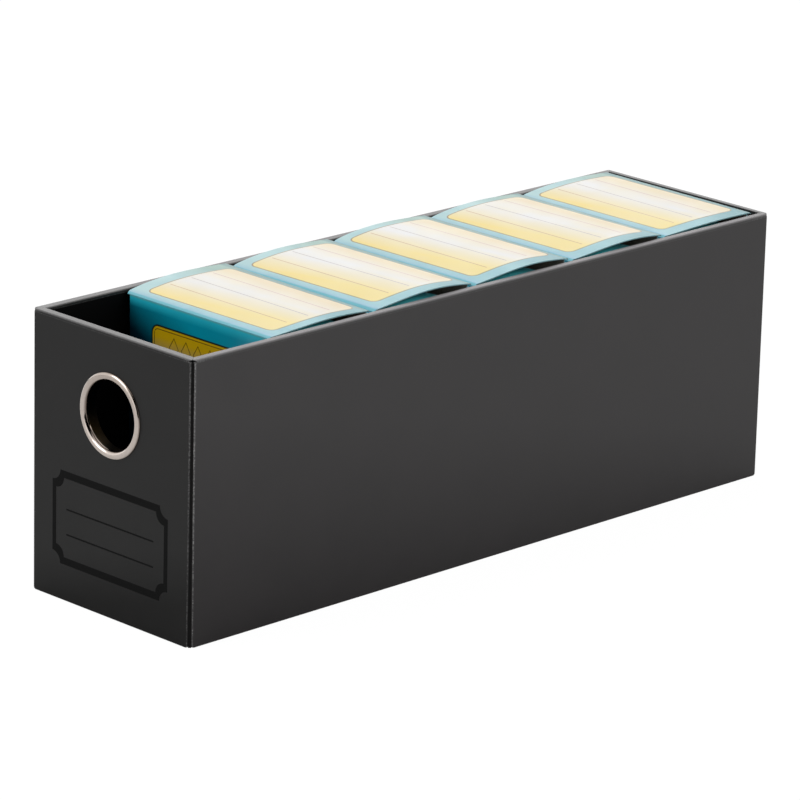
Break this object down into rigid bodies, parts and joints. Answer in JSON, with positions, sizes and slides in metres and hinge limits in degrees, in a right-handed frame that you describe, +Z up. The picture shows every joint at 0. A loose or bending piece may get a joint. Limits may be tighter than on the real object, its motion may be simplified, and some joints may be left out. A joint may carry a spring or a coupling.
{
  "type": "trading card drawer box",
  "caption": "Long open black board drawer tray with a metal-rimmed finger hole in its front, holding a row of lift-out teal folding cartons for cards with bowed, hinged lids.",
  "frame": {"origin": "On the underside at the middle of the tray's footprint.", "axes": "+Z up, +Y along the tray towards the rear wall, +X to the right seen from the front. The finger hole faces -Y."},
  "size_m": [0.0804, 0.2844, 0.1024],
  "materials": {
    "black_board": "matte black laminated board, fine grain",
    "black_lining": "matte black paper lining",
    "nickel": "polished nickel plate",
    "teal_carton": "teal gloss-coated carton board",
    "lid_print": "pale cyan carton board with a cream label panel and three ruled lines",
    "card_stack": "edges of sleeved cards"
  },
  "bodies": {
    "root": {"base_outer_panel": "black_board", "base_inner_panel": "black_lining", "left_outer_panel": "black_board", "left_inner_panel": "black_lining", "right_outer_panel": "black_board", "right_inner_panel": "black_lining", "front_outer_panel": "black_board", "front_inner_panel": "black_lining", "rear_outer_panel": "black_board", "rear_inner_panel": "black_lining", "corner_flap_front_left": "black_board", "corner_flap_front_right": "black_board", "corner_flap_rear_left": "black_board", "corner_flap_rear_right": "black_board", "front_rim": "black_board", "rear_rim": "black_board", "right_rim": "black_board", "left_rim": "black_board", "finger_hole_eyelet": "nickel", "eyelet_washer": "nickel"},
    "carton_1": {"carton_1_shell": "teal_carton", "carton_1_bottom": "teal_carton", "carton_1_cards": "card_stack"},
    "carton_1_lid": {"carton_1_lid": "lid_print"},
    "carton_1_tuck": {"carton_1_tuck_flap": "teal_carton"},
    "carton_1_flap_left": {"carton_1_dust_flap_left": "teal_carton"},
    "carton_1_flap_right": {"carton_1_dust_flap_right": "teal_carton"},
    "carton_2": {"carton_2_shell": "teal_carton", "carton_2_bottom": "teal_carton", "carton_2_cards": "card_stack"},
    "carton_2_lid": {"carton_2_lid": "lid_print"},
    "carton_2_tuck": {"carton_2_tuck_flap": "teal_carton"},
    "carton_2_flap_left": {"carton_2_dust_flap_left": "teal_carton"},
    "carton_2_flap_right": {"carton_2_dust_flap_right": "teal_carton"},
    "carton_3": {"carton_3_shell": "teal_carton", "carton_3_bottom": "teal_carton", "carton_3_cards": "card_stack"},
    "carton_3_lid": {"carton_3_lid": "lid_print"},
    "carton_3_tuck": {"carton_3_tuck_flap": "teal_carton"},
    "carton_3_flap_left": {"carton_3_dust_flap_left": "teal_carton"},
    "carton_3_flap_right": {"carton_3_dust_flap_right": "teal_carton"},
    "carton_4": {"carton_4_shell": "teal_carton", "carton_4_bottom": "teal_carton", "carton_4_cards": "card_stack"},
    "carton_4_lid": {"carton_4_lid": "lid_print"},
    "carton_4_tuck": {"carton_4_tuck_flap": "teal_carton"},
    "carton_4_flap_left": {"carton_4_dust_flap_left": "teal_carton"},
    "carton_4_flap_right": {"carton_4_dust_flap_right": "teal_carton"},
    "carton_5": {"carton_5_shell": "teal_carton", "carton_5_bottom": "teal_carton", "carton_5_cards": "card_stack"},
    "carton_5_lid": {"carton_5_lid": "lid_print"},
    "carton_5_tuck": {"carton_5_tuck_flap": "teal_carton"},
    "carton_5_flap_left": {"carton_5_dust_flap_left": "teal_carton"},
    "carton_5_flap_right": {"carton_5_dust_flap_right": "teal_carton"}
  },
  "joints": [
    {"name": "carton_1_lift", "type": "slide", "parent": "root", "child": "carton_1", "axis": [0, 0, 1], "range_m": [0, 0.105]},
    {"name": "carton_1_lid_hinge", "type": "hinge", "parent": "carton_1", "child": "carton_1_lid", "pos_m": [0.0006, -0.10285, 0.09875], "axis": [1, 0, 0], "range_deg": [0, 100]},
    {"name": "carton_1_tuck_fold", "type": "hinge", "parent": "carton_1_lid", "child": "carton_1_tuck", "pos_m": [0.0006, -0.0567, 0.10035], "axis": [1, 0, 0], "range_deg": [0, 21]},
    {"name": "carton_1_flap_left_fold", "type": "hinge", "parent": "carton_1", "child": "carton_1_flap_left", "pos_m": [-0.03415, -0.1031, 0.098], "axis": [0, -1, 0], "range_deg": [0, 62]},
    {"name": "carton_1_flap_right_fold", "type": "hinge", "parent": "carton_1", "child": "carton_1_flap_right", "pos_m": [0.03535, -0.1031, 0.098], "axis": [0, 1, 0], "range_deg": [0, 62]},
    {"name": "carton_2_lift", "type": "slide", "parent": "root", "child": "carton_2", "axis": [0, 0, 1], "range_m": [0, 0.105]},
    {"name": "carton_2_lid_hinge", "type": "hinge", "parent": "carton_2", "child": "carton_2_lid", "pos_m": [0.0006, -0.0541, 0.09875], "axis": [1, 0, 0], "range_deg": [0, 100]},
    {"name": "carton_2_tuck_fold", "type": "hinge", "parent": "carton_2_lid", "child": "carton_2_tuck", "pos_m": [0.0006, -0.00795, 0.10035], "axis": [1, 0, 0], "range_deg": [0, 21]},
    {"name": "carton_2_flap_left_fold", "type": "hinge", "parent": "carton_2", "child": "carton_2_flap_left", "pos_m": [-0.03415, -0.05435, 0.098], "axis": [0, -1, 0], "range_deg": [0, 62]},
    {"name": "carton_2_flap_right_fold", "type": "hinge", "parent": "carton_2", "child": "carton_2_flap_right", "pos_m": [0.03535, -0.05435, 0.098], "axis": [0, 1, 0], "range_deg": [0, 62]},
    {"name": "carton_3_lift", "type": "slide", "parent": "root", "child": "carton_3", "axis": [0, 0, 1], "range_m": [0, 0.105]},
    {"name": "carton_3_lid_hinge", "type": "hinge", "parent": "carton_3", "child": "carton_3_lid", "pos_m": [0.0006, -0.0057, 0.09875], "axis": [1, 0, 0], "range_deg": [0, 100]},
    {"name": "carton_3_tuck_fold", "type": "hinge", "parent": "carton_3_lid", "child": "carton_3_tuck", "pos_m": [0.0006, 0.04045, 0.10035], "axis": [1, 0, 0], "range_deg": [0, 21]},
    {"name": "carton_3_flap_left_fold", "type": "hinge", "parent": "carton_3", "child": "carton_3_flap_left", "pos_m": [-0.03415, -0.00595, 0.098], "axis": [0, -1, 0], "range_deg": [0, 62]},
    {"name": "carton_3_flap_right_fold", "type": "hinge", "parent": "carton_3", "child": "carton_3_flap_right", "pos_m": [0.03535, -0.00595, 0.098], "axis": [0, 1, 0], "range_deg": [0, 62]},
    {"name": "carton_4_lift", "type": "slide", "parent": "root", "child": "carton_4", "axis": [0, 0, 1], "range_m": [0, 0.105]},
    {"name": "carton_4_lid_hinge", "type": "hinge", "parent": "carton_4", "child": "carton_4_lid", "pos_m": [0.0006, 0.04255, 0.09875], "axis": [1, 0, 0], "range_deg": [0, 100]},
    {"name": "carton_4_tuck_fold", "type": "hinge", "parent": "carton_4_lid", "child": "carton_4_tuck", "pos_m": [0.0006, 0.0887, 0.10035], "axis": [1, 0, 0], "range_deg": [0, 21]},
    {"name": "carton_4_flap_left_fold", "type": "hinge", "parent": "carton_4", "child": "carton_4_flap_left", "pos_m": [-0.03415, 0.0423, 0.098], "axis": [0, -1, 0], "range_deg": [0, 62]},
    {"name": "carton_4_flap_right_fold", "type": "hinge", "parent": "carton_4", "child": "carton_4_flap_right", "pos_m": [0.03535, 0.0423, 0.098], "axis": [0, 1, 0], "range_deg": [0, 62]},
    {"name": "carton_5_lift", "type": "slide", "parent": "root", "child": "carton_5", "axis": [0, 0, 1], "range_m": [0, 0.105]},
    {"name": "carton_5_lid_hinge", "type": "hinge", "parent": "carton_5", "child": "carton_5_lid", "pos_m": [0.0006, 0.09035, 0.09875], "axis": [1, 0, 0], "range_deg": [0, 100]},
    {"name": "carton_5_tuck_fold", "type": "hinge", "parent": "carton_5_lid", "child": "carton_5_tuck", "pos_m": [0.0006, 0.1365, 0.10035], "axis": [1, 0, 0], "range_deg": [0, 21]},
    {"name": "carton_5_flap_left_fold", "type": "hinge", "parent": "carton_5", "child": "carton_5_flap_left", "pos_m": [-0.03415, 0.0901, 0.098], "axis": [0, -1, 0], "range_deg": [0, 62]},
    {"name": "carton_5_flap_right_fold", "type": "hinge", "parent": "carton_5", "child": "carton_5_flap_right", "pos_m": [0.03535, 0.0901, 0.098], "axis": [0, 1, 0], "range_deg": [0, 62]}
  ],
  "couplings": [
    {"joint": "carton_1_tuck_fold", "follows": "carton_1_lid_hinge", "ratio": 0.2},
    {"joint": "carton_1_flap_left_fold", "follows": "carton_1_lid_hinge", "ratio": 0.6},
    {"joint": "carton_1_flap_right_fold", "follows": "carton_1_lid_hinge", "ratio": 0.6},
    {"joint": "carton_2_tuck_fold", "follows": "carton_2_lid_hinge", "ratio": 0.2},
    {"joint": "carton_2_flap_left_fold", "follows": "carton_2_lid_hinge", "ratio": 0.6},
    {"joint": "carton_2_flap_right_fold", "follows": "carton_2_lid_hinge", "ratio": 0.6},
    {"joint": "carton_3_tuck_fold", "follows": "carton_3_lid_hinge", "ratio": 0.2},
    {"joint": "carton_3_flap_left_fold", "follows": "carton_3_lid_hinge", "ratio": 0.6},
    {"joint": "carton_3_flap_right_fold", "follows": "carton_3_lid_hinge", "ratio": 0.6},
    {"joint": "carton_4_tuck_fold", "follows": "carton_4_lid_hinge", "ratio": 0.2},
    {"joint": "carton_4_flap_left_fold", "follows": "carton_4_lid_hinge", "ratio": 0.6},
    {"joint": "carton_4_flap_right_fold", "follows": "carton_4_lid_hinge", "ratio": 0.6},
    {"joint": "carton_5_tuck_fold", "follows": "carton_5_lid_hinge", "ratio": 0.2},
    {"joint": "carton_5_flap_left_fold", "follows": "carton_5_lid_hinge", "ratio": 0.6},
    {"joint": "carton_5_flap_right_fold", "follows": "carton_5_lid_hinge", "ratio": 0.6}
  ]
}
